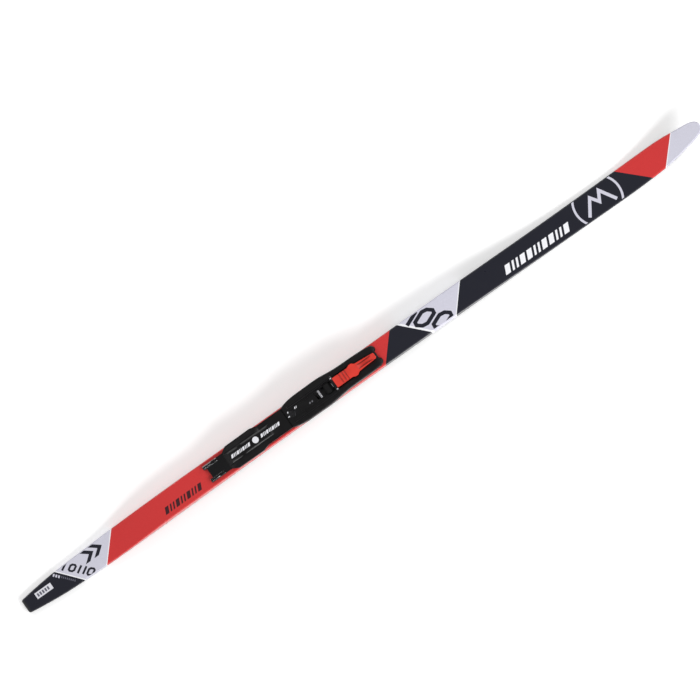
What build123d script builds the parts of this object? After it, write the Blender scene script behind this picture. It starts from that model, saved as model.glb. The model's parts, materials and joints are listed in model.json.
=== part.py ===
"""Classic cross-country ski with a step-in binding, in millimetres.

The ski points along +X, its left side is +Y and +Z is up. The origin lies midway between tail and tip,
on the ground. Stations are distances from the tail end, and binding heights are above the ski's platform.
"""

import os
from math import cos, radians, sin, sqrt

from build123d import *

os.makedirs("parts", exist_ok=True)

# ---- Ski ---------------------------------------------------------------------------------------
ski_length = 1500.0
overrun = 10.0  # how far construction profiles run past both ends

tail_kick = 3.0  # height of the running surface at the tail end
rear_contact = (70.0, 110.0)  # stations where the ski stands on the ground
front_contact = (1260.0, 1300.0)
camber_station, camber_height = 600.0, 12.0
tip_rise = 46.0  # height of the running surface at the tip

tail_thickness_top = 9.6  # heights of the top surface
tail_taper_start = 100.0
platform = 35.0
platform_start, platform_end = 395.0, 805.0
shovel_top = 8.5
tip_top = 51.0

# half widths of the outline, as (station, half width)
tail_corner_radius = 4.0
tail_end = (0.0, 13.4)
tail_flare = [(38.0, 18.2), (73.0, 21.5), (110.0, 23.1)]
sidecut_rear, sidecut_waist, sidecut_front = (240.0, 25.0), (930.0, 24.0), (1316.0, 26.0)
shovel_taper = [(1390.0, 25.6), (1430.0, 23.6), (1465.0, 18.6)]

base_thickness = 1.3
laminate_thickness = 0.7
cap_thickness = 0.8
cap_bevel = 2.0
base_groove_width, base_groove_depth = 7.0, 0.8
base_groove = (130.0, 1240.0)
grip_zone, grip_seam = (470.0, 1010.0), 740.0
tip_seam = 1290.0  # where the turned-up front piece of the base begins
core_ends = (110.0, 1330.0)
protector_length = 4.7
sticker_ends, sticker_width, sticker_offset, sticker_thickness = (26.5, 61.5), 12.0, 4.0, 0.15

# ---- Binding: stations, half widths and heights above the platform -------------------------------
clearance = 0.2

plate_ends = (414.0, 715.0)
flange_half, flange_heights = 17.0, (3.0, 5.0)
web_half = 14.5
ear_inner, ear_height, ear_slope = 10.0, 7.4, 2.2  # the rear ears' side view follows
ear_side = [(408.0, 0.0), (408.0, 6.0), (410.0, 7.4), (425.0, 7.2), (428.0, 5.8), (431.0, 5.8), (433.0, 6.8),
            (438.4, 6.6), (438.4, 0.0)]
index_pitch, index_count, index_start = 3.0, 12, 580.0
screw_stations, screw_offset = (470.0, 690.0), 9.0
screw_radius, screw_head_radius, screw_depth = 2.1, 4.2, 14.0

underside = 0.4  # gap between the binding and the topsheet
heel_ends = (451.0, 584.0)
heel_outline = [(heel_ends[0], 16.5), (463.0, 23.5), (517.0, 24.0), (531.0, 20.4), (600.0, 20.4)]
heel_top = [(heel_ends[0], 4.6), (463.0, 9.0), (517.0, 9.4), (531.0, 10.7), (heel_ends[1], 10.7)]
rib_top = [(451.0, 5.6), (461.0, 14.0), (545.0, 14.0), (553.0, 10.0)]
rib_half_widths = (13.0, 9.0)
rib_slope = (1.4, 1.6)  # half width and height of the sloping strips along the rib's top
rib_notch, rib_notch_inner, rib_notch_depth = (480.6, 489.0), 6.2, 2.4

toe_ends = (584.0, 788.0)
toe_flank = [(584.0, 20.4), (603.0, 25.3), (640.0, 26.8), (660.0, 27.0), (677.0, 26.2), (697.0, 23.8),
             (740.0, 22.5), (773.0, 21.5)]
toe_crown = [(690.0, 14.5), (715.0, 16.0), (745.0, 14.5), (775.0, 9.5), (788.0, 6.0)]
toe_edge = 1.6
slot_front = 728.0
floor_height = 7.0
ridge = [(592.0, 10.0), (597.0, 17.0), (690.0, 17.0), (697.0, 11.0)]
ridge_offsets = (12.6, 16.2)
passage_half, passage_height, passage_ends = 8.3, 9.1, (617.0, 702.0)
cover_ends, cover_half, cover_heights = (615.0, 654.9), 8.2, (12.2, 14.2)
cavity_front, cavity_half = 652.0, 7.6
jaw_bay_front, jaw_bay_half = 670.3, 8.4
bridge_height, flexor_bay_front, flexor_bay_half = 11.0, 683.3, 10.4
saddle_ends, saddle_height = (685.5, 694.5), 18.8
bay_floor, bay_step, bay_shoulder, bay_front = 8.5, 695.0, 739.6, 781.0
bay_front_halves = (9.8, 6.9)

hinge, axle_radius = (690.0, 17.5), 1.75
axle_head_radius, axle_head_offsets = 2.2, (10.3, 12.4)
running_fit = 0.05
barrel_radius = 3.3
crank_radius, crank_lag = 5.0, 35.0  # the drive pin starts this many degrees behind straight down
crank_pin_radius, cheek_radius, cheek_offsets = 1.5, 3.0, (4.4, 7.4)
lever_half = 10.0
lever_flank = [(700.0, 9.9), (725.0, 9.5), (730.5, 12.1), (736.0, 12.1), (741.0, 8.3), (780.5, 5.4)]
hip_radius = 2.4
lever_profile = [(691.0, 14.2), (690.0, 20.8), (727.0, 19.6), (780.5, 15.2), (780.5, 11.2), (742.0, 10.2),
                 (704.0, 12.0)]
lever_grooves = [(706.4, 20.6), (713.1, 20.4), (718.5, 20.2)]
groove_radius = 1.3
dish_ends, dish_half, dish_depth = (742.0, 774.0), 4.6, 3.2

lock_station, lock_head_radius, lock_shank_radius = 598.6, 6.2, 3.0
lock_seat, lock_top = 9.2, 14.0
lock_slot_turn, lock_slot_width, lock_slot_depth = 40.0, 1.7, 1.8
clip_radius, clip_groove_radius, clip_heights = 4.9, 2.5, (5.3, 6.3)

rod_offset, rod_height, rod_radius, rod_ends = 4.6, 9.7, 1.1, (617.2, 653.4)
spring_radius, spring_wire, spring_turns = 1.9, 0.35, 9
cover_rib_start, cover_rib_pitch, cover_rib_count = 648.3, 1.3, 5

flexor_side = [(670.5, 11.0), (670.5, 15.5), (673.5, 18.0), (680.5, 17.6), (682.8, 13.0), (682.8, 11.0)]
flexor_half = 9.0
foot_ends, foot_half = (674.0, 680.0), 3.0

carriage_ends, carriage_half, carriage_heights = (655.6, 692.0), 8.0, (7.2, 8.8)
tail_half = 1.6
flange_ends, flange_half_width, flange_top = (618.5, 621.0), 7.0, 12.0
upright_ends, upright_top = (660.6, 664.2), 13.2
yoke_half, yoke_half_length, yoke_top, yoke_slot_floor = 4.0, 3.1, 14.0, 10.6
yoke_clearance = 0.15
hook_leg_rear, hook_half = 659.6, 7.6
lip_rear, lip_heights = 656.9, (13.9, 15.4)

# ---- Planes and small helpers ---------------------------------------------------------------------
tail = Vector(-ski_length / 2, 0, 0)


def plan_at(height):
    """Horizontal sketch plane whose X is the station."""
    return Plane(origin=tail + Vector(0, 0, height), x_dir=(1, 0, 0), z_dir=(0, 0, 1))


def side_at(y):
    """Upright sketch plane along the ski: X is the station and Y is the height."""
    return Plane(origin=tail + Vector(0, y, 0), x_dir=(1, 0, 0), z_dir=(0, -1, 0))


def slope_curve(low, high):
    """Bezier that leaves and arrives level."""
    middle = (low[0] + high[0]) / 2
    return Bezier(low, (middle, low[1]), (middle, high[1]), high)


def running_line(lift):
    """Running surface from tail to tip, raised by lift; call it inside a BuildLine."""
    start = (rear_contact[0], lift)
    kick = TangentArc(start, (0, tail_kick + lift), tangent=(-1, 0))
    Line(kick @ 1, kick @ 1 + (kick % 1) * overrun)
    Line(start, (rear_contact[1], lift))
    slope_curve((rear_contact[1], lift), (camber_station, camber_height + lift))
    slope_curve((camber_station, camber_height + lift), (front_contact[0], lift))
    Line((front_contact[0], lift), (front_contact[1], lift))
    shovel = TangentArc((front_contact[1], lift), (ski_length, tip_rise + lift), tangent=(1, 0))
    Line(shovel @ 1, shovel @ 1 + (shovel % 1) * overrun)


def top_line(drop):
    """Top surface from tail to tip, lowered by drop; call it inside a BuildLine."""
    low, high, front = tail_thickness_top - drop, platform - drop, shovel_top - drop
    Line((-overrun, low), (tail_taper_start, low))
    slope_curve((tail_taper_start, low), (platform_start, high))
    Line((platform_start, high), (platform_end, high))
    slope_curve((platform_end, high), (front_contact[1], front))
    tip = TangentArc((front_contact[1], front), (ski_length, tip_top - drop), tangent=(1, 0))
    Line(tip @ 1, tip @ 1 + (tip % 1) * overrun)


def under(line, shift):
    """Side view of everything under a line, down to the construction floor."""
    with BuildSketch(side_at(0)) as region:
        with BuildLine() as outline:
            line(shift)
            ends = outline.vertices().sort_by(Axis.X)
            rear, front = ends[0], ends[-1]
            floor = -2 * overrun
            Polyline((rear.X, rear.Y), (rear.X, floor), (front.X, floor), (front.X, front.Y))
        make_face()
    return region.sketch


def outline(inset):
    """Plan of the ski, with every side moved in by inset."""
    with BuildSketch(plan_at(0)) as plan:
        with BuildLine():
            sidecut_points = (sidecut_rear, sidecut_waist, sidecut_front)
            rear, waist, front = [(x, half - inset) for x, half in sidecut_points]
            sidecut = ThreePointArc(rear, waist, front)
            corner = (tail_end[0] + inset, tail_end[1] - inset)
            flare = [(x, half - inset) for x, half in tail_flare]
            Line((corner[0], 0), corner)
            Spline(corner, *flare, rear, tangents=[(1, 0.16), sidecut % 0])
            taper = [(x, half - inset) for x, half in shovel_taper]
            Spline(front, *taper, (ski_length - inset, 0), tangents=[sidecut % 1, (0, -1)])
            mirror(about=Plane.XZ)
        make_face()
        fillet(plan.vertices().group_by(Axis.X)[0], radius=tail_corner_radius - inset)
    return plan.sketch


def ski_slab(inset, lower, upper, bevel):
    """Solid inside the outline between two lines, with its top edges bevelled."""
    with BuildPart() as slab:
        extrude(outline(inset), amount=3 * overrun + tip_top)
        extrude(under(*upper), amount=2 * overrun + 10, both=True, mode=Mode.INTERSECT)
        extrude(under(*lower), amount=2 * overrun + 10, both=True, mode=Mode.SUBTRACT)
        if bevel:
            tops = slab.faces().filter_by(lambda face: face.normal_at().Z > 0.5)
            edges = tops.edges()
            rim = ShapeList([edge for edge in edges if edges.count(edge) == 1])
            chamfer(rim, bevel)
    return slab.part


def spot(station, y, height):
    """Point given by its station, its offset from the centreline and its height above the platform."""
    return tail + Vector(station, y, platform + height)


def block(stations, offsets, heights, mode=Mode.ADD):
    """Box between two stations, two offsets and two heights above the platform."""
    low = spot(stations[0], offsets[0], heights[0])
    high = spot(stations[1], offsets[1], heights[1])
    size = high - low
    with Locations((low + high) / 2):
        Box(size.X, size.Y, size.Z, mode=mode)


def pillar(station, y, radius, heights, mode=Mode.ADD):
    """Upright cylinder between two heights above the platform."""
    with Locations(spot(station, y, sum(heights) / 2)):
        Cylinder(radius, heights[1] - heights[0], mode=mode)


def cross_bar(point, radius, offsets, mode=Mode.ADD):
    """Cylinder across the ski at (station, height), between two offsets."""
    with Locations(Location(spot(point[0], sum(offsets) / 2, point[1]), (90, 0, 0))):
        Cylinder(radius, offsets[1] - offsets[0], mode=mode)


def deck_side(y=0.0):
    """Upright sketch plane whose Y is the height above the platform."""
    return Plane(origin=spot(0, y, 0), x_dir=(1, 0, 0), z_dir=(0, -1, 0))


def deck_plan(height=0.0):
    """Horizontal sketch plane at a height above the platform."""
    return Plane(origin=spot(0, 0, height), x_dir=(1, 0, 0), z_dir=(0, 0, 1))


across = Plane(origin=spot(0, 0, 0), x_dir=(0, 1, 0), z_dir=(1, 0, 0))  # X is the offset, Y is the height


def side_shape(points, y=0.0):
    """Closed polygon of (station, height) points."""
    with BuildSketch(deck_side(y)) as sketch:
        with BuildLine():
            Polyline(*points, close=True)
        make_face()
    return sketch.sketch


def plan_shape(halves, corner_radius=0.0, round_from=0):
    """Polygon mirrored about the centreline, from (station, half width) points in order of station.

    The corners are rounded from the given point on.
    """
    mirrored = [(x, -half) for x, half in reversed(halves)]
    with BuildSketch(deck_plan()) as sketch:
        with BuildLine():
            Polyline(*halves, *mirrored, close=True)
        make_face()
        if corner_radius:
            columns = sketch.vertices().group_by(Axis.X)
            fillet([corner for column in columns[round_from:] for corner in column], radius=corner_radius)
    return sketch.sketch


def rim_edges(part):
    """Outer edges of the upward faces."""
    edges = part.faces().filter_by(lambda face: face.normal_at().Z > 0.5).edges()
    return ShapeList([edge for edge in edges if edges.count(edge) == 1])


def crank_point(turn):
    """Station and height of the drive pin when the lever has turned by so many degrees."""
    angle = radians(turn - crank_lag)
    return hinge[0] + crank_radius * sin(angle), hinge[1] - crank_radius * cos(angle)


def save(name, part):
    """Label a finished piece and write its STEP file."""
    part.part.label = name
    export_step(part.part, f"parts/{name}.step")


# ---- Ski ---------------------------------------------------------------------------------------
blank = ski_slab(0, (running_line, 0), (top_line, 0), cap_bevel)
cap = ski_slab(0, (running_line, base_thickness), (top_line, 0), cap_bevel)
inner_bevel = cap_bevel - cap_thickness * (2 - sqrt(2))
filling = ski_slab(cap_thickness, (running_line, base_thickness), (top_line, cap_thickness), inner_bevel)
lower_shift = base_thickness + laminate_thickness
upper_shift = cap_thickness + laminate_thickness
tall = (-platform - overrun, 2 * overrun)  # heights that span the whole ski
wide = (-2 * sidecut_front[1], 2 * sidecut_front[1])
screw_places = [(x, y) for x in screw_stations for y in (-screw_offset, screw_offset)]

with BuildPart() as groove:
    extrude(under(running_line, base_groove_depth), amount=base_groove_width / 2, both=True)
    block(base_groove, wide, tall, mode=Mode.INTERSECT)

with BuildPart() as running_sheet:
    extrude(outline(0), amount=3 * overrun + tip_top)
    extrude(under(running_line, base_thickness), amount=wide[1], both=True, mode=Mode.INTERSECT)
    extrude(under(running_line, 0), amount=wide[1], both=True, mode=Mode.SUBTRACT)
    add(groove.part, mode=Mode.SUBTRACT)

base_sections = {
    "rear_glide_base": (protector_length, grip_zone[0]),
    "rear_grip_base": (grip_zone[0], grip_seam),
    "front_grip_base": (grip_seam, grip_zone[1]),
    "front_glide_base": (grip_zone[1], tip_seam),
    "tip_base": (tip_seam, ski_length + overrun),
}
for name, stations in base_sections.items():
    with BuildPart() as section:
        add(running_sheet.part)
        block(stations, wide, tall, mode=Mode.INTERSECT)
    save(name, section)

with BuildPart() as lower_laminate:
    add(filling)
    extrude(under(running_line, lower_shift), amount=wide[1], both=True, mode=Mode.INTERSECT)
    block((-overrun, protector_length), wide, tall, mode=Mode.SUBTRACT)
save("lower_laminate", lower_laminate)

with BuildPart() as upper_laminate:
    add(filling)
    extrude(under(top_line, upper_shift), amount=wide[1], both=True, mode=Mode.SUBTRACT)
    block((-overrun, protector_length), wide, tall, mode=Mode.SUBTRACT)
    for x, y in screw_places:
        pillar(x, y, screw_radius, (-screw_depth, 0), mode=Mode.SUBTRACT)
save("upper_laminate", upper_laminate)

core_sections = {
    "tail_spacer": (protector_length, core_ends[0]),
    "rear_core": (core_ends[0], platform_start),
    "binding_block": (platform_start, platform_end),
    "front_core": (platform_end, core_ends[1]),
    "tip_spacer": (core_ends[1], ski_length + overrun),
}
for name, stations in core_sections.items():
    with BuildPart() as section:
        add(filling)
        extrude(under(top_line, upper_shift), amount=wide[1], both=True, mode=Mode.INTERSECT)
        extrude(under(running_line, lower_shift), amount=wide[1], both=True, mode=Mode.SUBTRACT)
        block(stations, wide, tall, mode=Mode.INTERSECT)
        if name == "binding_block":
            for x, y in screw_places:
                pillar(x, y, screw_radius, (-screw_depth, 0), mode=Mode.SUBTRACT)
    save(name, section)

with BuildPart() as topsheet:
    add(cap)
    add(filling, mode=Mode.SUBTRACT)
    block((-overrun, protector_length), wide, tall, mode=Mode.SUBTRACT)
    for x, y in screw_places:
        pillar(x, y, screw_radius, (-screw_depth, 0), mode=Mode.SUBTRACT)
save("topsheet", topsheet)

with BuildPart() as tail_protector:
    add(blank)
    block((-overrun, protector_length), wide, tall, mode=Mode.INTERSECT)
save("tail_protector", tail_protector)

with BuildPart() as size_sticker:
    sticker_base = tail_thickness_top - platform
    block(
        sticker_ends,
        (sticker_offset - sticker_width / 2, sticker_offset + sticker_width / 2),
        (sticker_base, sticker_base + sticker_thickness),
    )
save("size_sticker", size_sticker)

# ---- Plate on the ski ------------------------------------------------------------------------------
with BuildPart() as plate_ears:
    with BuildSketch(across):
        for side in (-1, 1):
            shoulder = ear_height - ear_slope
            rims = [(ear_inner, 0), (ear_inner, shoulder), (ear_inner + ear_slope, ear_height),
                    (flange_half - ear_slope, ear_height), (flange_half, shoulder), (flange_half, 0)]
            with BuildLine():
                Polyline(*[(side * y, height) for y, height in rims], close=True)
            make_face()
    extrude(amount=ski_length)
    extrude(side_shape(ear_side), amount=wide[1], both=True, mode=Mode.INTERSECT)

with BuildPart() as mounting_plate:
    block(plate_ends, (-web_half, web_half), (0, flange_heights[0]))
    block(plate_ends, (-flange_half, flange_half), flange_heights)
    add(plate_ears.part)
    for x, y in screw_places:
        pillar(x, y, screw_radius, (0, flange_heights[1]), mode=Mode.SUBTRACT)
        with Locations(spot(x, y, flange_heights[1] - (screw_head_radius - screw_radius) / 2)):
            Cone(
                screw_radius,
                screw_head_radius,
                screw_head_radius - screw_radius,
                mode=Mode.SUBTRACT,
            )
    for index in range(index_count):
        x = index_start + index * index_pitch
        block((x, x + index_pitch / 2), (-7, 7), (flange_heights[1] - 0.8, tall[1]), mode=Mode.SUBTRACT)
save("mounting_plate", mounting_plate)

with BuildPart() as plate_screws:
    for x, y in screw_places:
        pillar(x, y, screw_radius, (-screw_depth, flange_heights[1]))
        with Locations(spot(x, y, flange_heights[1] - (screw_head_radius - screw_radius) / 2)):
            Cone(screw_radius, screw_head_radius, screw_head_radius - screw_radius)
        with BuildSketch(deck_plan(flange_heights[1])):
            with Locations((x, y)):
                RegularPolygon(1.7, 6)
        extrude(amount=-1.8, mode=Mode.SUBTRACT)
save("plate_screws", plate_screws)


def cut_rail_slot(stations):
    """Slot that runs on the plate, open below, inside the current part."""
    top = flange_heights[1] + clearance
    lip = flange_heights[0] - clearance
    wide_half = flange_half + clearance
    narrow_half = web_half + clearance
    block(stations, (-wide_half, wide_half), (lip, top), mode=Mode.SUBTRACT)
    block(stations, (-narrow_half, narrow_half), (0, lip), mode=Mode.SUBTRACT)


# ---- Heel plate --------------------------------------------------------------------------------------
rib_base = flange_heights[1] + clearance
low_half, high_half = rib_half_widths
low, high = heel_top[0][1], rib_top[1][1]
rib_side_top = (high_half + rib_slope[0], high - rib_slope[1])
rib_rims = [(low_half, low), rib_side_top, (high_half - rib_slope[0], high)]

with BuildPart() as heel_rib:
    with BuildSketch(across):
        with BuildLine():
            Polyline(*rib_rims, *[(-y, height) for y, height in reversed(rib_rims)], close=True)
        make_face()
    extrude(amount=ski_length)
    rib_side = [(rib_top[0][0], rib_base), *rib_top, (rib_top[-1][0], rib_base)]
    extrude(side_shape(rib_side), amount=wide[1], both=True, mode=Mode.INTERSECT)
    for offsets in ((rib_notch_inner, low_half), (-low_half, -rib_notch_inner)):
        block(rib_notch, offsets, (high - rib_notch_depth, high + 1), mode=Mode.SUBTRACT)

with BuildPart() as heel_plate:
    extrude(plan_shape(heel_outline, corner_radius=2.5), amount=2 * overrun)
    heel_side = [(heel_ends[0], underside), *heel_top, (heel_ends[1], underside)]
    extrude(side_shape(heel_side), amount=wide[1], both=True, mode=Mode.INTERSECT)
    add(heel_rib.part)
    cut_rail_slot((heel_ends[0] - 1, heel_ends[1] + 1))
save("heel_plate", heel_plate)

# ---- Toe unit --------------------------------------------------------------------------------------
bay_top = 3 * overrun
with BuildPart() as toe_housing:
    with BuildSketch(deck_plan()):
        with BuildLine():
            Line((toe_ends[0], 0), toe_flank[0])
            flank = Spline(*toe_flank)
            nose = [(784.0, 19.0), (toe_ends[1], 13.5), (786.8, 9.0)]
            Spline(flank @ 1, *nose, (784.0, bay_front_halves[1]), tangents=[flank % 1, (-1, -1)])
            Line((784.0, bay_front_halves[1]), (784.0, 0))
            mirror(about=Plane.XZ)
        make_face()
    extrude(amount=bay_top)
    with BuildSketch(deck_side()) as side:
        with BuildLine():
            front, rear = toe_ends[1], toe_ends[0]
            Polyline((front, toe_crown[-1][1]), (front, underside), (rear, underside), (rear, 10.5),
                     (rear + 16, 13.5), toe_crown[0])
            Spline(*toe_crown)
        make_face()
    extrude(side.sketch, amount=wide[1], both=True, mode=Mode.INTERSECT)
    chamfer(rim_edges(toe_housing), toe_edge)
    for side_sign in (-1, 1):
        ridge_middle = side_sign * sum(ridge_offsets) / 2
        ridge_half = (ridge_offsets[1] - ridge_offsets[0]) / 2
        extrude(side_shape(ridge, ridge_middle), amount=ridge_half, both=True)
    # rail slot, carriage passage, spring cavity and the recess of its cover
    cut_rail_slot((toe_ends[0] - 1, slot_front))
    passage = (-passage_half, passage_half)
    block(passage_ends, passage, (floor_height, passage_height), mode=Mode.SUBTRACT)
    block(
        (passage_ends[0], cavity_front),
        (-cavity_half, cavity_half),
        (floor_height, cover_heights[0]),
        mode=Mode.SUBTRACT,
    )
    block(cover_ends, (-cover_half, cover_half), (cover_heights[0], bay_top), mode=Mode.SUBTRACT)
    # jaw bay, flexor bay and lever bay
    jaw_bay = (-jaw_bay_half, jaw_bay_half)
    block((cover_ends[1], jaw_bay_front), jaw_bay, (floor_height, bay_top), mode=Mode.SUBTRACT)
    flexor_bay = (-flexor_bay_half, flexor_bay_half)
    block((jaw_bay_front, flexor_bay_front), flexor_bay, (bridge_height, bay_top), mode=Mode.SUBTRACT)
    block((flexor_bay_front, passage_ends[1]), flexor_bay, (floor_height, bay_top), mode=Mode.SUBTRACT)
    shoulder_half = ridge_offsets[0]
    block(
        (bay_step, bay_shoulder),
        (-shoulder_half, shoulder_half),
        (bay_floor, bay_top),
        mode=Mode.SUBTRACT,
    )
    tapered = [(bay_shoulder - 1, bay_front_halves[0]), (bay_front, bay_front_halves[1])]
    extrude(
        plan_shape(tapered).moved(Location((0, 0, bay_floor))),
        amount=bay_top - bay_floor,
        mode=Mode.SUBTRACT,
    )
    # saddles that hold the lever's axle
    for side_sign in (-1, 1):
        offsets = sorted((side_sign * flexor_bay_half, side_sign * ridge_offsets[0]))
        block(saddle_ends, offsets, (bridge_height, saddle_height))
    axle_span = (-axle_head_offsets[1], axle_head_offsets[1])
    cross_bar(hinge, axle_head_radius, axle_span, mode=Mode.SUBTRACT)
    slot_stations = (hinge[0] - axle_head_radius, hinge[0] + axle_head_radius)
    block(slot_stations, axle_span, (hinge[1], bay_top), mode=Mode.SUBTRACT)
    # seat of the rotary lock and hole for the flexor's foot
    pillar(lock_station, 0, lock_head_radius + 0.15, (lock_seat, bay_top), mode=Mode.SUBTRACT)
    pillar(lock_station, 0, lock_shank_radius + running_fit, (0, lock_seat), mode=Mode.SUBTRACT)
    pillar(lock_station, 0, clip_radius + 0.3, (0, clip_heights[1] + 0.2), mode=Mode.SUBTRACT)
    block(foot_ends, (-foot_half, foot_half), (floor_height, bridge_height), mode=Mode.SUBTRACT)
    # bores for the guide rods
    for y in (-rod_offset, rod_offset):
        with Locations(Location(spot((rod_ends[0] + rod_ends[1]) / 2, y, rod_height), (0, 90, 0))):
            Cylinder(rod_radius, rod_ends[1] - rod_ends[0], mode=Mode.SUBTRACT)
save("toe_housing", toe_housing)

with BuildPart() as spring_cover:
    block(cover_ends, (-cover_half, cover_half), cover_heights)
    top_edges = spring_cover.faces().sort_by(Axis.Z)[-1].edges()
    chamfer(top_edges, 0.4)
    for index in range(cover_rib_count):
        x = cover_rib_start + index * cover_rib_pitch
        block(
            (x, x + cover_rib_pitch / 2),
            (-cover_half + 1, cover_half - 1),
            (cover_heights[1] - 0.5, bay_top),
            mode=Mode.SUBTRACT,
        )
save("spring_cover", spring_cover)

with BuildPart() as guide_rods:
    for y in (-rod_offset, rod_offset):
        with Locations(Location(spot((rod_ends[0] + rod_ends[1]) / 2, y, rod_height), (0, 90, 0))):
            Cylinder(rod_radius, rod_ends[1] - rod_ends[0])
save("guide_rods", guide_rods)

spring_length = cavity_front - flange_ends[1] - 2 * spring_wire
with BuildPart() as jaw_springs:
    for y in (-rod_offset, rod_offset):
        start = spot(flange_ends[1] + spring_wire, y, rod_height)
        pitch = spring_length / spring_turns
        with BuildLine():
            coil = Helix(pitch, spring_length, spring_radius, center=start, direction=(1, 0, 0))
        with BuildSketch(Plane(origin=coil @ 0, z_dir=coil % 0)):
            Circle(spring_wire)
        sweep(path=coil, is_frenet=True)
save("jaw_springs", jaw_springs)

with BuildPart() as flexor:
    extrude(side_shape(flexor_side), amount=flexor_half, both=True)
    block(foot_ends, (-foot_half, foot_half), (passage_height, bridge_height))
save("flexor", flexor)

with BuildPart() as lever_axle:
    cross_bar(hinge, axle_radius, (-axle_head_offsets[0], axle_head_offsets[0]))
    for side_sign in (-1, 1):
        head_offsets = sorted(side_sign * offset for offset in axle_head_offsets)
        cross_bar(hinge, axle_head_radius, head_offsets)
    chamfer(lever_axle.edges().filter_by(GeomType.CIRCLE).group_by(Axis.Y)[0], 0.4)
    chamfer(lever_axle.edges().filter_by(GeomType.CIRCLE).group_by(Axis.Y)[-1], 0.4)
save("lever_axle", lever_axle)

# ---- Release lever ---------------------------------------------------------------------------------
crank_rest = crank_point(0)


def lever_top(station):
    """Height of the lever's upper side ahead of its grip shoulders' rear end."""
    (x0, z0), (x1, z1) = lever_profile[2], lever_profile[3]
    return z0 + (station - x0) * (z1 - z0) / (x1 - x0)


with BuildPart() as release_lever:
    lever_rear = (hinge[0] - barrel_radius - 1, lever_half)
    extrude(plan_shape([lever_rear, *lever_flank], corner_radius=hip_radius, round_from=2), amount=bay_top)
    with BuildSketch(deck_side()) as lever_side:
        with BuildLine():
            Polyline(*lever_profile, close=True)
        make_face()
        fillet(lever_side.vertices().group_by(Axis.X)[-1], radius=1.6)
        with Locations(hinge):
            Circle(barrel_radius)
    extrude(lever_side.sketch, amount=wide[1], both=True, mode=Mode.INTERSECT)
    with BuildSketch(deck_side()) as dish:
        with BuildLine():
            rear, front = [(x, lever_top(x)) for x in dish_ends]
            middle = sum(dish_ends) / 2
            ThreePointArc(rear, (middle, lever_top(middle) - dish_depth), front)
            Polyline(front, (front[0], bay_top), (rear[0], bay_top), rear)
        make_face()
    extrude(dish.sketch, amount=dish_half, both=True, mode=Mode.SUBTRACT)
    for station, height in lever_grooves:
        cross_bar((station, height), groove_radius, (-lever_half, lever_half), mode=Mode.SUBTRACT)
    with BuildSketch(deck_side()) as cheek:
        with BuildLine():
            CenterArc(hinge, barrel_radius, 0, 360)
            CenterArc(crank_rest, cheek_radius, 0, 360)
        make_hull()
    for side_sign in (-1, 1):
        cheek_shift = Location((0, side_sign * sum(cheek_offsets) / 2, 0))
        extrude(cheek.sketch.moved(cheek_shift), amount=(cheek_offsets[1] - cheek_offsets[0]) / 2, both=True)
    cross_bar(hinge, axle_radius + running_fit, (-lever_half, lever_half), mode=Mode.SUBTRACT)
    cross_bar(crank_rest, crank_pin_radius, (-cheek_offsets[1], cheek_offsets[1]), mode=Mode.SUBTRACT)
save("release_lever", release_lever)

with BuildPart() as drive_pin:
    cross_bar(crank_rest, crank_pin_radius, (-cheek_offsets[1], cheek_offsets[1]))
save("drive_pin", drive_pin)

# ---- Jaw -----------------------------------------------------------------------------------------
with BuildPart() as jaw_slider:
    block(carriage_ends, (-carriage_half, carriage_half), carriage_heights)
    block((flange_ends[1], carriage_ends[0]), (-tail_half, tail_half), carriage_heights)
    block(flange_ends, (-flange_half_width, flange_half_width), (carriage_heights[0], flange_top))
    block(upright_ends, (-carriage_half, carriage_half), (carriage_heights[1], upright_top))
    yoke_ends = (crank_rest[0] - yoke_half_length, crank_rest[0] + yoke_half_length)
    block(yoke_ends, (-yoke_half, yoke_half), (carriage_heights[1], yoke_top))
    slot_half = crank_pin_radius + yoke_clearance
    slot_stations = (crank_rest[0] - slot_half, crank_rest[0] + slot_half)
    block(slot_stations, (-yoke_half, yoke_half), (yoke_slot_floor, yoke_top), mode=Mode.SUBTRACT)
    for y in (-rod_offset, rod_offset):
        with Locations(Location(spot(sum(flange_ends) / 2, y, rod_height), (0, 90, 0))):
            Cylinder(rod_radius + running_fit, flange_ends[1] - flange_ends[0], mode=Mode.SUBTRACT)
save("jaw_slider", jaw_slider)

with BuildPart() as jaw_hook:
    block((hook_leg_rear, upright_ends[0]), (-hook_half, hook_half), (carriage_heights[1], lip_heights[1]))
    block((lip_rear, upright_ends[0]), (-hook_half, hook_half), lip_heights)
    lip_edges = jaw_hook.edges().filter_by(Axis.Y).group_by(Axis.Z)[-1]
    fillet(lip_edges, radius=0.6)
save("jaw_hook", jaw_hook)

# ---- Position lock -----------------------------------------------------------------------------------
with BuildPart() as rotary_lock:
    pillar(lock_station, 0, lock_head_radius, (lock_seat + running_fit, lock_top))
    chamfer(rotary_lock.faces().sort_by(Axis.Z)[-1].edges(), 0.7)
    pillar(lock_station, 0, lock_shank_radius, (flange_heights[1] + 0.1, lock_seat + running_fit))
    pillar(lock_station, 0, lock_shank_radius, clip_heights, mode=Mode.SUBTRACT)
    pillar(lock_station, 0, clip_groove_radius, clip_heights)
    with BuildSketch(deck_plan(lock_top)):
        with Locations(Location((lock_station, 0), lock_slot_turn)):
            SlotOverall(2 * lock_head_radius - 2.0, lock_slot_width)
    extrude(amount=-lock_slot_depth, mode=Mode.SUBTRACT)
save("rotary_lock", rotary_lock)

with BuildPart() as lock_clip:
    pillar(lock_station, 0, clip_radius, clip_heights)
    pillar(lock_station, 0, clip_groove_radius, clip_heights, mode=Mode.SUBTRACT)
    mouth = (lock_station, lock_station + 2 * clip_radius)
    mouth_half = clip_groove_radius * 0.7
    block(mouth, (-mouth_half, mouth_half), clip_heights, mode=Mode.SUBTRACT)
save("lock_clip", lock_clip)
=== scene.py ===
"""Looks of the cross-country ski: printed cap, base with grip scales, binding, studio and camera."""

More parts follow.
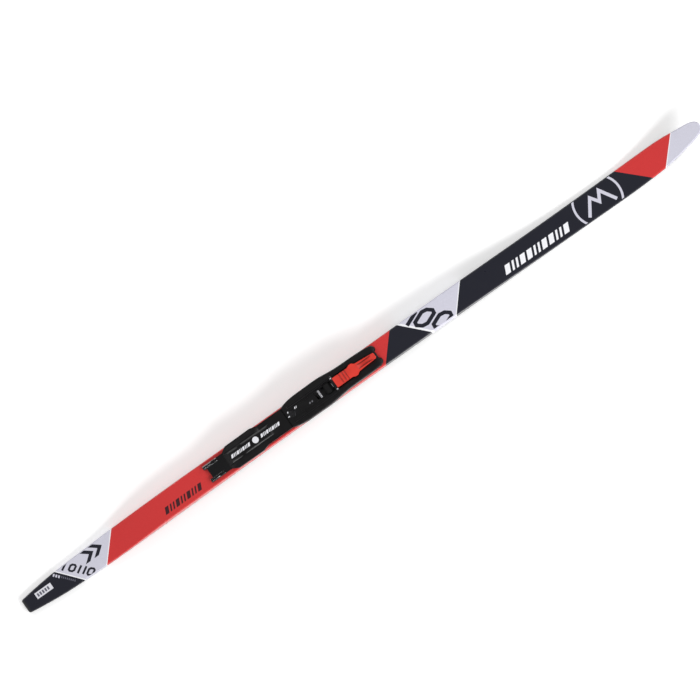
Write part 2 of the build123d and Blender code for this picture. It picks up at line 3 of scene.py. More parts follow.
import json
from collections import namedtuple
from math import cos, pi, radians, sin

import bmesh
import bpy
from mathutils import Matrix, Vector
from mathutils.bvhtree import BVHTree


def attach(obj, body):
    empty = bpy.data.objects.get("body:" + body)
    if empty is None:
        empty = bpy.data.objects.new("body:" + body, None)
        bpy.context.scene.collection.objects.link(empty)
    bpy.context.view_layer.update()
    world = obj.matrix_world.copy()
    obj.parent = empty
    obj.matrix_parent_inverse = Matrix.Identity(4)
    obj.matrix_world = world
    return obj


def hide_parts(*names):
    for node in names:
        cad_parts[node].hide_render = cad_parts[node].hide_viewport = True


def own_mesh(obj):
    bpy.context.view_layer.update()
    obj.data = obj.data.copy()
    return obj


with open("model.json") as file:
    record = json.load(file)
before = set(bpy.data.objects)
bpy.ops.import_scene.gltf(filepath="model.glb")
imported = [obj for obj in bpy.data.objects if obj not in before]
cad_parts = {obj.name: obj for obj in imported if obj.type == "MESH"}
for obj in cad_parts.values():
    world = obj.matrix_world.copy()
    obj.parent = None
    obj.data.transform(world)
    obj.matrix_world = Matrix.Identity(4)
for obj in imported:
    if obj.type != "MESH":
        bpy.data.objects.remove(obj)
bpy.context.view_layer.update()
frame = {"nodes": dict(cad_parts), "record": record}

MM = 0.001
HALF_LENGTH = 750.0  # mm, half of the ski's length
UP = Vector((0, 0, 1))
scene = bpy.context.scene
bodies = frame["record"]["behaviour"]["bodies"]
body_of_node = {node: body for body, nodes in bodies.items() for node in nodes}


def at(station):
    """X of a station, which is a distance in mm from the tail end."""
    return (station - HALF_LENGTH) * MM


# ---- Camera, studio ------------------------------------------------------------------------------

TILT = radians(7.5)  # the camera leans this far to the ski's right
TURN = radians(35.4)  # angle of the ski in the picture
LENS, SENSOR, FRAME_WIDTH = 300.0, 36.0, 1.267  # mm, mm, and metres across the picture
TARGET = Vector((-0.0008, 0.0362, 0.030))
CLIP_END = 100.0


def make_camera():
    """Long lens, square to the ski's length, tilted so that its right side shows."""
    along = Vector((1, 0, 0))
    back = Vector((0, -sin(TILT), cos(TILT)))
    side = back.cross(along)
    right = along * cos(TURN) - side * sin(TURN)
    up = along * sin(TURN) + side * cos(TURN)
    data = bpy.data.cameras.new("camera")
    data.lens = LENS
    data.sensor_width = SENSOR
    data.clip_end = CLIP_END
    camera = bpy.data.objects.new("camera", data)
    turn = Matrix((right, up, back)).transposed().to_4x4()
    camera.matrix_world = Matrix.Translation(TARGET + back * FRAME_WIDTH * LENS / SENSOR) @ turn
    scene.collection.objects.link(camera)
    scene.camera = camera


# softboxes: name, place, size in metres, power in watts
SOFTBOXES = [
    ("key", (0.6, -2.2, 1.6), (2.8, 1.0), 76),
    ("left_fill", (-0.6, 2.3, 1.6), (2.8, 1.0), 34),
    ("front_fill", (3.2, 0.3, 1.8), (1.0, 2.0), 24),
    ("rear_fill", (-3.0, -0.3, 1.6), (1.0, 2.0), 14),
]
WORLD_STRENGTH = 0.28
FLOOR_HALF, FLOOR_DROP = 6.0, 0.0002  # metres
FLOOR_SHADE, FLOOR_GLOW = 0.95, 0.22


def area_light(name, place, size, power):
    """Softbox that points at the middle of the ski."""
    data = bpy.data.lights.new(name, "AREA")
    data.shape = "RECTANGLE"
    data.size, data.size_y = size
    data.energy = power
    light = bpy.data.objects.new(name, data)
    light.location = place
    light.rotation_euler = (-light.location).to_track_quat("-Z", "Y").to_euler()
    scene.collection.objects.link(light)


def make_studio():
    """White surroundings and the softboxes."""
    world = bpy.data.worlds.new("studio")
    world.use_nodes = True
    backdrop = world.node_tree.nodes["Background"]
    backdrop.inputs["Color"].default_value = (1.0, 1.0, 1.0, 1.0)
    backdrop.inputs["Strength"].default_value = WORLD_STRENGTH
    scene.world = world
    scene.view_settings.view_transform = "Standard"
    for softbox in SOFTBOXES:
        area_light(*softbox)


def make_floor():
    """Sheet of white paper, just below the ski."""
    mesh = bpy.data.meshes.new("floor")
    corners = [(-1, -1), (1, -1), (1, 1), (-1, 1)]
    mesh.from_pydata([(x * FLOOR_HALF, y * FLOOR_HALF, -FLOOR_DROP) for x, y in corners], [], [(0, 1, 2, 3)])
    floor = bpy.data.objects.new("floor", mesh)
    scene.collection.objects.link(floor)
    floor.data.materials.append(matte("floor_paper", (FLOOR_SHADE,) * 3, 0.9, glow=FLOOR_GLOW))


# ---- Materials -----------------------------------------------------------------------------------

# painted shade: a groove's colour is darkened by how little open sky it sees
GROOVE_SAMPLES = 8
GROOVE_SPAN, GROOVE_SHADE = (0.55, 0.95), 0.12  # shares of open sky between which a groove is shaded


def linear(srgb):
    """Linear colour from an 8-bit sRGB triple."""
    shares = [value / 255 for value in srgb]
    return tuple(s / 12.92 if s <= 0.04045 else ((s + 0.055) / 1.055) ** 2.4 for s in shares)


class Shader:
    """A principled material with small helpers for its node tree."""

    def __init__(self, name, roughness, metallic=0.0, specular=0.5):
        self.material = bpy.data.materials.new(name)
        self.material.use_nodes = True
        self.nodes = self.material.node_tree.nodes
        self.links = self.material.node_tree.links
        self.base = self.nodes["Principled BSDF"]
        self.base.inputs["Roughness"].default_value = roughness
        self.base.inputs["Metallic"].default_value = metallic
        self.base.inputs["Specular IOR Level"].default_value = specular
        self.coordinates = self.nodes.new("ShaderNodeTexCoord").outputs["Object"]

    def noise(self, scale, detail=3.0, stretch=(1, 1, 1)):
        """Noise of so many features per metre, in object coordinates."""
        mapping = self.nodes.new("ShaderNodeMapping")
        mapping.inputs["Scale"].default_value = stretch
        self.links.new(self.coordinates, mapping.inputs["Vector"])
        texture = self.nodes.new("ShaderNodeTexNoise")
        texture.inputs["Scale"].default_value = scale
        texture.inputs["Detail"].default_value = detail
        self.links.new(mapping.outputs["Vector"], texture.inputs["Vector"])
        return texture.outputs["Fac"]

    def ramp(self, factor, stops):
        """Colours between stops of (position, colour)."""
        ramp = self.nodes.new("ShaderNodeValToRGB")
        elements = ramp.color_ramp.elements
        for element, (position, color) in zip(elements, (stops[0], stops[-1])):
            element.position = position
            element.color = (*color, 1)
        for position, color in stops[1:-1]:
            elements.new(position).color = (*color, 1)
        self.links.new(factor, ramp.inputs["Fac"])
        return ramp.outputs["Color"]

    def span(self, factor, low, high):
        """A factor from 0 to 1, spread between two values."""
        spread = self.nodes.new("ShaderNodeMapRange")
        spread.inputs["To Min"].default_value = low
        spread.inputs["To Max"].default_value = high
        self.links.new(factor, spread.inputs["Value"])
        return spread.outputs["Result"]

    def painted_groove_shade(self, color, reach):
        """A colour with painted shade: darker where other surfaces stand within reach, in metres."""
        shelter = self.nodes.new("ShaderNodeAmbientOcclusion")
        shelter.samples = GROOVE_SAMPLES
        shelter.inputs["Distance"].default_value = reach
        deep, open_sky = GROOVE_SPAN
        shade = self.ramp(shelter.outputs["AO"], [(deep, (GROOVE_SHADE,) * 3), (open_sky, (1, 1, 1))])
        mix = self.nodes.new("ShaderNodeMix")
        mix.data_type = "RGBA"
        mix.blend_type = "MULTIPLY"
        mix.inputs["Factor"].default_value = 1.0
        self.links.new(color, mix.inputs["A"])
        self.links.new(shade, mix.inputs["B"])
        return mix.outputs["Result"]

    def bump(self, height, distance):
        """Relief of so many metres."""
        bump = self.nodes.new("ShaderNodeBump")
        bump.inputs["Distance"].default_value = distance
        self.links.new(height, bump.inputs["Height"])
        self.links.new(bump.outputs["Normal"], self.base.inputs["Normal"])

    def feed(self, socket, output):
        """Link an output to a socket of the principled shader."""
        self.links.new(output, self.base.inputs[socket])


def shades(color, spread):
    """Darker and lighter neighbours of a colour."""
    return [tuple(c * (1 - spread) for c in color), tuple(min(1.0, c * (1 + spread)) for c in color)]


def matte(name, color, roughness, glow):
    """Even paper that glows a little, as if lit from behind."""
    shader = Shader(name, roughness, specular=0.2)
    shader.base.inputs["Emission Color"].default_value = (1, 1, 1, 1)
    shader.base.inputs["Emission Strength"].default_value = glow
    dark, light = shades(color, 0.02)
    shader.feed("Base Color", shader.ramp(shader.noise(3.0), [(0.3, dark), (0.7, light)]))
    return shader.material


def print_film(name, srgb, roughness=0.3):
    """Satin printed cap under clear lacquer: faint pigment speckle and a slight orange peel."""
    shader = Shader(name, roughness, specular=0.3)
    color = linear(srgb)
    dark, light = shades(color, 0.05)
    speckle = shader.noise(900.0, detail=2.0)
    shader.feed("Base Color", shader.ramp(speckle, [(0.35, dark), (0.65, light)]))
    shader.feed("Roughness", shader.span(shader.noise(45.0), roughness - 0.06, roughness + 0.08))
    shader.bump(shader.noise(260.0, detail=1.0), 0.00002)
    shader.base.inputs["Coat Weight"].default_value = 0.25
    shader.base.inputs["Coat Roughness"].default_value = 0.12
    return shader.material


def moulded(name, srgb, roughness=0.5, grain=1400.0, depth=0.00003, specular=0.5, groove_shade_reach=0.0):
    """Injection-moulded plastic: fine spark-eroded grain, slightly uneven gloss, and on request painted shade
    in its grooves.
    """
    shader = Shader(name, roughness, specular=specular)
    dark, light = shades(linear(srgb), 0.12)
    color = shader.ramp(shader.noise(60.0, detail=6.0), [(0.3, dark), (0.7, light)])
    shader.feed("Base Color", shader.painted_groove_shade(color, groove_shade_reach) if groove_shade_reach else color)
    shader.feed("Roughness", shader.span(shader.noise(90.0), roughness - 0.1, roughness + 0.1))
    shader.bump(shader.noise(grain, detail=2.0), depth)
    return shader.material


def under_coat(material, ior):
    """A material under a full clear coat."""
    inputs = material.node_tree.nodes["Principled BSDF"].inputs
    inputs["Coat Weight"].default_value = 1.0
    inputs["Coat IOR"].default_value = ior
    return material


def steel(name, srgb, stretch, roughness=0.3):
    """Ground or drawn steel with fine lines along the axis that is stretched least."""
    shader = Shader(name, roughness, metallic=1.0)
    dark, light = shades(linear(srgb), 0.05)
    lines = shader.noise(400.0, detail=4.0, stretch=stretch)
    shader.feed("Base Color", shader.ramp(lines, [(0.3, dark), (0.7, light)]))
    shader.feed("Roughness", shader.span(lines, roughness - 0.08, roughness + 0.12))
    shader.bump(lines, 0.000002)
    return shader.material


# ---- Mesh helpers --------------------------------------------------------------------------------

WELD = 0.002  # mm, seams in the CAD meshes closer than this are closed
FLAT_ANGLE = 0.6  # degrees between neighbouring triangles of one flat face
SMOOTH_ANGLE = 35  # degrees, edges sharper than this stay sharp
ROUNDED_ANGLE, ROUNDED_SEGMENTS = 30, 2  # degrees, edges sharper than this are rounded, in so many steps


def dress(piece, node, *materials):
    """Give a new piece its materials, and let it ride with the node's body."""
    for material in materials:
        piece.data.materials.append(material)
    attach(piece, body_of_node[node])
    return piece


def paint(node, material):
    """Give a CAD node a better material."""
    piece = frame["nodes"][node]
    piece.data.materials.clear()
    piece.data.materials.append(material)


def welded_copy(node, whole_faces=True):
    """bmesh of a CAD node without its seams, and on request with its flat faces whole again."""
    shape = bmesh.new()
    shape.from_mesh(frame["nodes"][node].data)
    bmesh.ops.remove_doubles(shape, verts=shape.verts, dist=WELD * MM)
    if whole_faces:
        flat = radians(FLAT_ANGLE)
        bmesh.ops.dissolve_limit(
            shape, angle_limit=flat, verts=shape.verts, edges=shape.edges, delimit={"NORMAL"}
        )
    return shape


def slice_through(shape, place, normal):
    """Cut every face of a bmesh that a plane crosses."""
    geometry = shape.verts[:] + shape.edges[:] + shape.faces[:]
    bmesh.ops.bisect_plane(shape, geom=geometry, plane_co=place, plane_no=normal)


def finished(name, shape, smooth_angle=SMOOTH_ANGLE):
    """Object from a bmesh, smooth except at edges sharper than the angle."""
    mesh = bpy.data.meshes.new(name)
    shape.normal_update()
    shape.to_mesh(mesh)
    shape.free()
    mesh.polygons.foreach_set("use_smooth", [True] * len(mesh.polygons))
    mesh.set_sharp_from_angle(angle=radians(smooth_angle))
    piece = bpy.data.objects.new(name, mesh)
    scene.collection.objects.link(piece)
    return piece


def rounded(node, width, *materials, split=None, slopes=None):
    """Copy of a CAD node with its edges rounded, in place of the node.

    Its second material covers what lies behind the split, an X, or the slopes, which are the faces whose
    sideways tilt lies between two limits above a height.
    """
    shape = welded_copy(node)
    for face in shape.faces:
        face.material_index = 0
    if split is not None:
        slice_through(shape, (split, 0, 0), (1, 0, 0))
        for face in shape.faces:
            face.material_index = int(face.calc_center_median().x < split)
    if slopes is not None:
        least, most, floor = slopes
        for face in shape.faces:
            tilted = least < abs(face.normal.y) < most and face.normal.z > 0
            face.material_index = int(tilted and face.calc_center_median().z > floor)
    piece = finished(node + "_rounded", shape)
    bevel = piece.modifiers.new("edges", "BEVEL")
    bevel.width = width * MM
    bevel.segments = ROUNDED_SEGMENTS
    bevel.limit_method = "ANGLE"
    bevel.angle_limit = radians(ROUNDED_ANGLE)
    bevel.harden_normals = True
    dress(piece, node, *materials)
    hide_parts(node)
    return piece


# ---- Printed cap ---------------------------------------------------------------------------------

EDGE_HALF = 24.5  # mm, offset at which the stations of the slanted borders were laid out
CAP_SMOOTH_ANGLE = 20
ASIDE = 10  # mm from the ski's middle, where the slant of a border is measured

RED = print_film("print_red", (200, 53, 53))
BLACK = print_film("print_black", (28, 29, 39))
PALE = print_film("print_pale", (202, 201, 214))
WHITE = print_film("print_white", (236, 236, 240))
INKS = [BLACK, PALE, RED, WHITE]
BLACK_INK, PALE_INK, RED_INK, WHITE_INK = range(4)

# slanted border: stations at the left and right edges, ink ahead of it, width of the white line behind it
Border = namedtuple("Border", "left right ink line")
BORDERS = [
    Border(79.0, 120.0, PALE_INK, 2.5),
    Border(209.0, 165.0, RED_INK, 2.2),
    Border(829.0, 786.0, BLACK_INK, 0.0),
    Border(848.0, 894.0, PALE_INK, 5.0),
    Border(985.0, 943.0, BLACK_INK, 2.2),
    Border(1328.0, 1376.0, RED_INK, 0.0),
    Border(1455.0, 1409.0, PALE_INK, 2.0),
]


def border_station(border, y):
    """Station of a slanted border at an offset from the ski's middle."""
    return (border.left + border.right) / 2 + (border.left - border.right) / 2 * y / EDGE_HALF


def print_cap():
    """The cap, cut along the slanted borders and inked zone by zone."""
    cap = welded_copy("topsheet", whole_faces=False)
    for border in BORDERS:
        for shift in (0.0, -border.line) if border.line else (0.0,):
            middle = Vector((at(border_station(border, 0) + shift), 0, 0))
            aside = Vector((at(border_station(border, ASIDE) + shift), ASIDE * MM, 0))
            slice_through(cap, middle, (aside - middle).cross(UP))
    for face in cap.faces:
        middle = face.calc_center_median() / MM
        station, y = middle.x + HALF_LENGTH, middle.y
        ink = BLACK_INK
        for border in BORDERS:
            ahead = station - border_station(border, y)
            if ahead > 0:
                ink = border.ink
            elif ahead > -border.line:
                ink = WHITE_INK
                break
        face.material_index = ink
    piece = finished("printed_cap", cap, smooth_angle=CAP_SMOOTH_ANGLE)
    weighted = piece.modifiers.new("even_shading", "WEIGHTED_NORMAL")
    weighted.keep_sharp = True
    dress(piece, "topsheet", *INKS)
    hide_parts("topsheet")


# ---- Printed marks -------------------------------------------------------------------------------

FILM = 0.05  # mm, how far a printed mark stands on and reaches into its surface
CELL = 2.5  # mm, size of the cells a mark is cut into to follow the surface
FLAT = 0.86  # least upward share of the normal of a surface that is printed on
RAY_HEIGHT = 1.0  # metres above or below the ski at which a probing ray starts
HALVINGS = 14  # steps that find how far out a surface is level
FILM_WELD = 0.01  # mm, corners of a mark closer than this are joined


class Ground:
    """Upper surface of some CAD nodes, probed from above."""

    def __init__(self, *nodes):
        verts, faces = [], []
        for node in nodes:
            mesh = frame["nodes"][node].data
            start = len(verts)
            verts += [vert.co.copy() for vert in mesh.vertices]
            faces += [[start + index for index in face.vertices] for face in mesh.polygons]
        self.tree = BVHTree.FromPolygons(verts, faces)

    def height(self, x, y):
        """Z of the surface, or None where it isn't level enough to print on."""
        place, normal, _, _ = self.tree.ray_cast(Vector((x, y, RAY_HEIGHT)), -UP)
        return place.z if place and abs(normal.z) > FLAT else None

    def drawn_in(self, x, y):
        """The nearest y towards the middle line that can be printed on, with its height."""
        height = self.height(x, y)
        if height is not None:
            return y, height
        inside, outside = 0.0, y
        for _ in range(HALVINGS):
            middle = (inside + outside) / 2
            if self.height(x, middle) is None:
                outside = middle
            else:
                inside = middle
        return inside, self.height(x, inside)


def cut_into_cells(shape, cell):
    """Slice a flat shape on a square grid."""
    for axis, normal in ((0, Vector((1, 0, 0))), (1, Vector((0, 1, 0)))):
        places = [vert.co[axis] for vert in shape.verts]
        step = int(min(places) / cell) - 1
        while step * cell < max(places):
            slice_through(shape, normal * step * cell, normal)
            step += 1


def film(name, outlines, material, node, ground, cell=CELL):
    """Thin printed marks on a surface, from outlines of (station, y) points in mm."""
    shape = bmesh.new()
    for outline in outlines:
        shape.faces.new([shape.verts.new((at(station), y * MM, 0)) for station, y in outline])
    cut_into_cells(shape, cell * MM)
    level = {vert: ground.height(vert.co.x, vert.co.y) for vert in shape.verts}
    lost = [face for face in shape.faces if all(level[vert] is None for vert in face.verts)]
    bmesh.ops.delete(shape, geom=lost, context="FACES")
    for vert in shape.verts:
        y, height = ground.drawn_in(vert.co.x, vert.co.y)
        vert.co = Vector((vert.co.x, y, height - FILM * MM))
    bmesh.ops.remove_doubles(shape, verts=shape.verts, dist=FILM_WELD * MM)
    top = bmesh.ops.extrude_face_region(shape, geom=shape.faces[:])["geom"]
    for vert in top:
        if isinstance(vert, bmesh.types.BMVert):
            vert.co.z += 2 * FILM * MM
    bmesh.ops.recalc_face_normals(shape, faces=shape.faces)
    piece = finished(name, shape)
    dress(piece, node, material)
    return piece


def slanted_bar(station, y, width, height, lean=0.45):
    """Upright bar that leans forward, by its middle, its width and its height."""
    shift = lean * height / 2
    return [
        (station - width / 2 - shift, y - height / 2),
        (station + width / 2 - shift, y - height / 2),
        (station + width / 2 + shift, y + height / 2),
        (station - width / 2 + shift, y + height / 2),
    ]


def bar_row(start, end, y, height, rhythm, gap):
    """Slanted bars whose widths repeat a rhythm, from one station to another."""
    bars, station, index = [], start, 0
    while station < end:
        width = rhythm[index % len(rhythm)]
        bars.append(slanted_bar(station + width / 2, y, width, height))
        station += width + gap
        index += 1
    return bars


def chevron(station, y, reach, half, stroke):
    """Arrow head pointing to the tip, as its two halves."""
    front, rear = station + stroke, station - reach
    return [
        [(station, y), (front, y), (front - reach, y + half), (rear, y + half)],
        [(rear, y - half), (front - reach, y - half), (front, y), (station, y)],
    ]


def along_border(border, ahead, step, width, height, count, start):
    """Bars square to a slanted border, in a row beside it."""
    run = Vector((border.right - border.left, -2 * EDGE_HALF)).normalized()
    out = Vector((-run.y, run.x))
    bars = []
    for index in range(count):
        middle = Vector((border.left, EDGE_HALF)) + run * (start + index * step) + out * ahead
        along, across = run * width / 2, out * height / 2
        bars.append([tuple(middle + k * along + m * across) for k, m in ((-1, -1), (1, -1), (1, 1), (-1, 1))])
    return bars


def arc_band(middle, radius, stroke, turn, spread, steps):
    """Part of a ring, in short quads, as far as the spread on both sides of a turn in degrees."""
    station, y = middle
    inner, outer = radius - stroke, radius
    quads = []
    for index in range(steps):
        low, high = [radians(turn - spread + 2 * spread * (index + k) / steps) for k in (0, 1)]
        corners = ((inner, low), (outer, low), (outer, high), (inner, high))
        quads.append([(station + r * cos(a), y + r * sin(a)) for r, a in corners])
    return quads


def stroke_path(points, stroke, closed=False):
    """Quads of one width along a chain of points, mitred where they meet."""
    chain = [Vector(point) for point in points]
    if closed:
        chain = [chain[-1], *chain, chain[0]]
    runs = [(b - a).normalized() for a, b in zip(chain, chain[1:])]
    rims = []
    for index, point in enumerate(chain):
        before, after = runs[max(index - 1, 0)], runs[min(index, len(runs) - 1)]
        out = Vector((-before.y - after.y, before.x + after.x)).normalized()
        reach = out * stroke / 2 / out.dot(Vector((-after.y, after.x)))
        rims.append((point - reach, point + reach))
    if closed:
        rims = [*rims[1:-1], rims[1]]
    return [[tuple(a), tuple(c), tuple(d), tuple(b)] for (a, b), (c, d) in zip(rims, rims[1:])]


def cut_corner_box(xs, ys, cut):
    """Octagon: a box with its corners cut off."""
    (x0, x1), (y0, y1) = xs, ys
    return [
        *((x0 + cut, y0), (x1 - cut, y0), (x1, y0 + cut), (x1, y1 - cut)),
        *((x1 - cut, y1), (x0 + cut, y1), (x0, y1 - cut), (x0, y0 + cut)),
    ]


def text_line(start, fall, lean):
    """Map from (along, up) in mm to a line of marks that falls and leans by angles from the ski's length."""
    along = Vector((cos(radians(fall)), -sin(radians(fall))))
    up = Vector((cos(radians(lean)), sin(radians(lean))))
    return lambda point: tuple(Vector(start) + along * point[0] + up * point[1])


def glyph_row(place, glyphs, stroke):
    """Strokes of a row of glyphs, each a chain of (along, up) points, closed where it is a box."""
    chains = [[place(point) for point in glyph] for glyph in glyphs]
    return [quad for chain in chains for quad in stroke_path(chain, stroke, closed=len(chain) > 2)]


# rows beside the tail's border: distance ahead, pitch, width, height, count, first distance along
TAIL_DASHES, TAIL_DOTS = (-8.2, 5.0, 3.0, 5.0, 3, 3.0), (-7.6, 3.6, 2.0, 3.4, 8, 18.0)
# lines of glyphs: start as (station, y), fall and lean in degrees
TAIL_LINE, TAIL_STROKE = ((92.0, 15.1), 45, 30), 3.8
TAIL_GLYPHS = [
    cut_corner_box((10.6, 20.4), (2.0, 14.4), 2.4),
    cut_corner_box((45.6, 55.8), (0.5, 13.6), 2.4),
    [(0, 0), (0, 18)],
    [(29, 0), (29, 15.8)],
    [(38.6, 0), (38.6, 15.8)],
]
SIZE_LINE, SIZE_STROKE = ((858.8, 11.5), 38.5, 23), 7.0
SIZE_GLYPHS = [
    [(0, 0), (0, 30)],
    cut_corner_box((10.5, 33.5), (1.5, 35.5), 6),
    cut_corner_box((45, 67), (0, 32), 6),
]
ARROW_APEXES, ARROW_SIZE = (168, 149), (11, 15, 12, 10)  # stations; y, reach, half width, stroke
# rows of bars: first and last station, y, height, widths in turn, gap
MODEL_BARS = (308, 388, -9, 12.5, (7.5, 3.2, 3.2), 3.4)
NAME_BARS = (1062, 1203, -8.6, 16.5, (10.5, 4.4, 4.4, 10.5), 4.6)
BADGE_RING, BADGE_ARC = ((1272.2, -0.6), 48.3, 4.2), (46, 44)  # middle, radius, stroke; spread, steps
BADGE_PEAKS, PEAK_STROKE = [(1243, -18), (1263, 12), (1274, -4), (1284, 14), (1303, -18)], 6.0


def print_marks():
    """Generic marks where the real cap carries lettering and badges."""
    cap = Ground("topsheet")

    def mark(name, outlines, ink):
        film(name, outlines, ink, "topsheet", cap)

    mark("tail_dashes", along_border(BORDERS[0], *TAIL_DASHES), PALE)
    mark("tail_dots", along_border(BORDERS[0], *TAIL_DOTS), GREY_INK)
    mark("tail_blocks", glyph_row(text_line(*TAIL_LINE), TAIL_GLYPHS, TAIL_STROKE), BLACK)
    mark("tail_arrows", [half for apex in ARROW_APEXES for half in chevron(apex, *ARROW_SIZE)], BLACK)
    mark("model_bars", bar_row(*MODEL_BARS), DARK_RED)
    mark("size_frames", glyph_row(text_line(*SIZE_LINE), SIZE_GLYPHS, SIZE_STROKE), BLACK)
    mark("name_bars", bar_row(*NAME_BARS), WHITE)
    mark("badge_arcs", [quad for turn in (0, 180) for quad in arc_band(*BADGE_RING, turn, *BADGE_ARC)], PALE)
    mark("badge_peaks", stroke_path(BADGE_PEAKS, PEAK_STROKE), PALE)


STICKER_SQUARES, STICKER_SQUARE = (31.5, 37.0, 42.5, 48.0, 53.5), (4.0, 3.4, 6.6)  # stations; y, size
HEEL_SPANS, HEEL_BARS = ((463, 504), (528, 569)), (0, 6.2, (4.2, 1.7, 1.7), 1.5)  # as the rows of bars
HEEL_DOT, HEEL_DOT_RADIUS, HEEL_DOT_SIDES = 516, 6.0, 40
# painted glints round the lock, drawn as white marks: station, y, width, height
LOCK_GLINT_DASH = (589.5, -1.0, 3.4, 1.8)
LOCK_GLINT_BARS = [(592.0, 6.6, 2.0, 2.6), (607.4, 6.2, 1.8, 3.6), (610.4, 6.2, 1.4, 3.6)]
COVER_DOTS, COVER_DOT = (635.0, 640.0), (-2.6, 2.4, 2.8)  # stations; y, size
HEEL_CELL, SMALL_CELL = 1.5, 1.0  # mm, cells of the smaller marks


def print_sticker():
    """Plain squares on the sticker near the tail."""
    squares = [slanted_bar(station, *STICKER_SQUARE, lean=0) for station in STICKER_SQUARES]
    film("sticker_squares", squares, GREY_INK, "size_sticker", Ground("size_sticker"))


def print_binding():
    """Marks on the heel plate and on the cover of the springs, and white marks round the lock as painted
    glints.
    """
    heel = Ground("heel_plate")
    bars = [bar for span in HEEL_SPANS for bar in bar_row(*span, *HEEL_BARS)]
    film("heel_bars", bars, PRINT_AND_GLINT_WHITE, "heel_plate", heel, HEEL_CELL)
    turns = [2 * pi * k / HEEL_DOT_SIDES for k in range(HEEL_DOT_SIDES)]
    disc = [(HEEL_DOT + HEEL_DOT_RADIUS * cos(turn), HEEL_DOT_RADIUS * sin(turn)) for turn in turns]
    film("heel_dot", [disc], PRINT_AND_GLINT_WHITE, "heel_plate", heel, HEEL_CELL)
    # painted glints: white marks where the lock's slot edges reflect light
    lock_glints = [slanted_bar(*LOCK_GLINT_DASH, lean=0)] + [slanted_bar(*bar) for bar in LOCK_GLINT_BARS]
    film("lock_glints", lock_glints, PRINT_AND_GLINT_WHITE, "toe_housing", Ground("toe_housing"), SMALL_CELL)
    dots = [slanted_bar(station, *COVER_DOT) for station in COVER_DOTS]
    film("cover_marks", dots, MARK_GREY, "spring_cover", Ground("spring_cover"), SMALL_CELL)


# ---- Grip scales ---------------------------------------------------------------------------------

SCALE_ROWS = (474.0, 998.0, 9.0)  # first station, last station, pitch
SCALE_OFFSETS = (-19.0, -9.5, 9.5, 19.0)
SCALE_LENGTH, SCALE_WIDTH, SCALE_BOW, SCALE_TAPER = 7.6, 8.6, 1.6, 0.8
SCALE_STEP, SCALE_EDGE, SCALE_ROOT = 0.45, 0.02, 0.3  # mm below the base at both ends, and into it
REAR_SHARES = (0, 0.25, 0.5, 0.75, 1)  # points across a scale's bowed rear edge


def add_scale(shape, tree, rear, y):
    """One wedge of a bmesh: deep at its bowed rear edge, and level with the base at its front."""
    front, half = rear + SCALE_LENGTH, SCALE_WIDTH / 2
    bowed = [(rear + SCALE_BOW * (2 * k - 1) ** 2, y + SCALE_WIDTH * (k - 0.5)) for k in REAR_SHARES]
    rim = [*bowed, (front, y + half - SCALE_TAPER), (front, y - half + SCALE_TAPER)]
    drops = [SCALE_STEP] * len(bowed) + [SCALE_EDGE, SCALE_EDGE]
    ceiling = [tree.ray_cast(Vector((at(s), v * MM, -RAY_HEIGHT)), UP)[0].z for s, v in rim]
    low = [shape.verts.new((at(s), v * MM, z - d * MM)) for (s, v), z, d in zip(rim, ceiling, drops)]
    high = [shape.verts.new((at(s), v * MM, z + SCALE_ROOT * MM)) for (s, v), z in zip(rim, ceiling)]
    shape.faces.new(low)
    shape.faces.new(high[::-1])
    for k in range(len(rim)):
        after = (k + 1) % len(rim)
        shape.faces.new((low[k], high[k], high[after], low[after]))


def grip_scales(material):
    """Rows of wedge-shaped scales under the foot, each with its step towards the tail."""
    tree = Ground("rear_grip_base", "front_grip_base").tree
    shape = bmesh.new()
    first, last, pitch = SCALE_ROWS
    station, row = first, 0
    while station < last:
        stagger = pitch / 2 if row % 2 else 0.0
        for index, y in enumerate(SCALE_OFFSETS):
            add_scale(shape, tree, station + (stagger if index % 2 else 0.0), y)
        station += pitch
        row += 1
    bmesh.ops.recalc_face_normals(shape, faces=shape.faces)
    piece = finished("grip_scales", shape)
    dress(piece, "front_grip_base", material)


# ---- Springs -------------------------------------------------------------------------------------


def closing_springs(material):
    """The jaw springs, welded, in place of their node, with a mesh of their own."""
    springs = finished("closing_springs", welded_copy("jaw_springs", whole_faces=False))
    dress(springs, "jaw_springs", material)
    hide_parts("jaw_springs")
    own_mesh(springs)


# ---- Build ---------------------------------------------------------------------------------------

DARK_RED = print_film("print_dark_red", (62, 28, 34))
GREY_INK = print_film("print_grey", (96, 96, 108))
# white of the heel plate's print, also used for the painted glints round the lock
PRINT_AND_GLINT_WHITE = print_film("pad_print_and_glint_white", (225, 225, 230), roughness=0.5)
MARK_GREY = print_film("pad_print_grey", (120, 120, 126), roughness=0.5)

make_camera()
make_studio()
make_floor()
print_cap()
print_marks()
print_sticker()
print_binding()

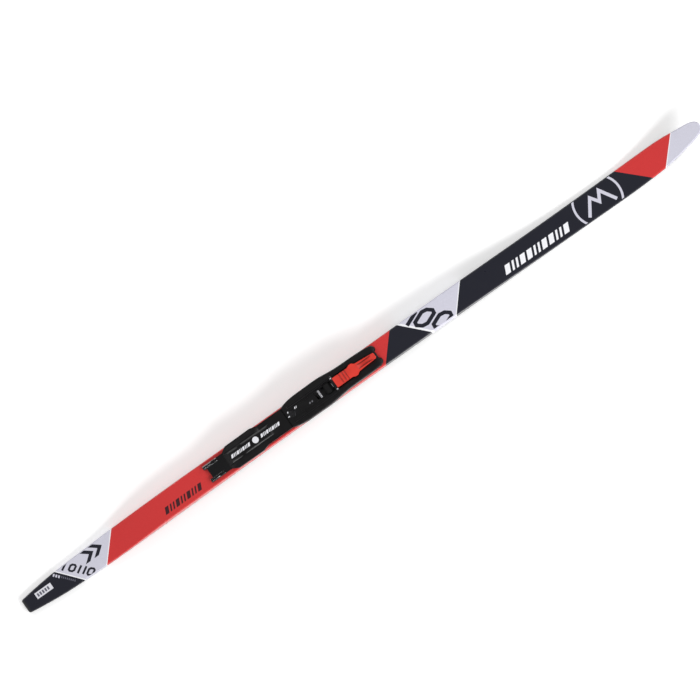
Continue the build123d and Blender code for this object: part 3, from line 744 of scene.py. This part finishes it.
BINDING_BLACK = moulded("binding_black", (7, 6, 8), roughness=0.32, specular=0.4)
PLATE_BLACK = moulded("plate_black", (9, 9, 11), roughness=0.3, specular=0.4)
# slopes of the heel rib and the plate's ears: glossier, and lighter than the black around them as painted
# sheen
POLISHED_SHEEN = under_coat(
    moulded("polished_sheen_slope", (16, 16, 20), roughness=0.2, depth=0.000002, specular=1.0), ior=2.0
)
# the lever's red is darkened by painted shade in its grooves, within 4 mm of other surfaces
LEVER_RED = moulded("lever_red", (208, 56, 45), 0.34, depth=0.00002, specular=0.4, groove_shade_reach=0.004)
# the lever's barrel behind the grip is red; the near-black paint on it is painted shade where the barrel lies
# in shadow
BARREL_PAINTED_SHADE = moulded("barrel_painted_shade", (14, 13, 14), roughness=0.4, specular=0.3)
BARREL_END = 692.4  # station where the red grip begins
BRIGHT = steel("bright_steel", (205, 205, 210), stretch=(1, 12, 12))
HOOK_STEEL = steel("hook_steel", (225, 225, 230), stretch=(12, 1, 12))
LOCK_BLACK = moulded("lock_black", (20, 20, 23), roughness=0.2, specular=0.6)
RUBBER = moulded("flexor_rubber", (14, 14, 15), roughness=0.6, grain=700.0, specular=0.2)

BASE_BLACK = moulded("base_plastic", (30, 30, 34), roughness=0.45)
base_nodes = ("rear_glide_base", "rear_grip_base", "front_grip_base", "front_glide_base", "tip_base")
for node in (*base_nodes, "tail_protector"):
    paint(node, BASE_BLACK)
for node in ("lower_laminate", "upper_laminate", "tip_spacer", "tail_spacer"):
    paint(node, moulded(node + "_stock", (190, 185, 150), roughness=0.7))
for node in ("rear_core", "binding_block", "front_core"):
    paint(node, moulded(node + "_stock", (190, 155, 110), roughness=0.7))
grip_scales(BASE_BLACK)
paint("size_sticker", print_film("sticker_film", (215, 215, 222)))
# the polished slopes chosen by tilt are lighter in colour than the black plastic, as painted sheen
SLOPE_TILT = (0.5, 0.85)  # sideways share of the normal of the polished slopes
RIB_FLOOR, EAR_FLOOR = 0.0465, 0.0385  # metres, above which the rib's and the ears' slopes are polished
rounded("heel_plate", 0.8, BINDING_BLACK, POLISHED_SHEEN, slopes=(*SLOPE_TILT, RIB_FLOOR))
rounded("toe_housing", 0.6, BINDING_BLACK)
rounded("mounting_plate", 0.4, PLATE_BLACK, POLISHED_SHEEN, slopes=(*SLOPE_TILT, EAR_FLOOR))
rounded("spring_cover", 0.2, BINDING_BLACK)
rounded("release_lever", 0.7, LEVER_RED, BARREL_PAINTED_SHADE, split=at(BARREL_END))
rounded("flexor", 0.6, RUBBER)
rounded("jaw_slider", 0.2, PLATE_BLACK)
rounded("rotary_lock", 0.25, LOCK_BLACK)
for node in ("plate_screws", "guide_rods", "lever_axle", "drive_pin", "lock_clip"):
    paint(node, BRIGHT)
closing_springs(BRIGHT)
paint("jaw_hook", HOOK_STEEL)
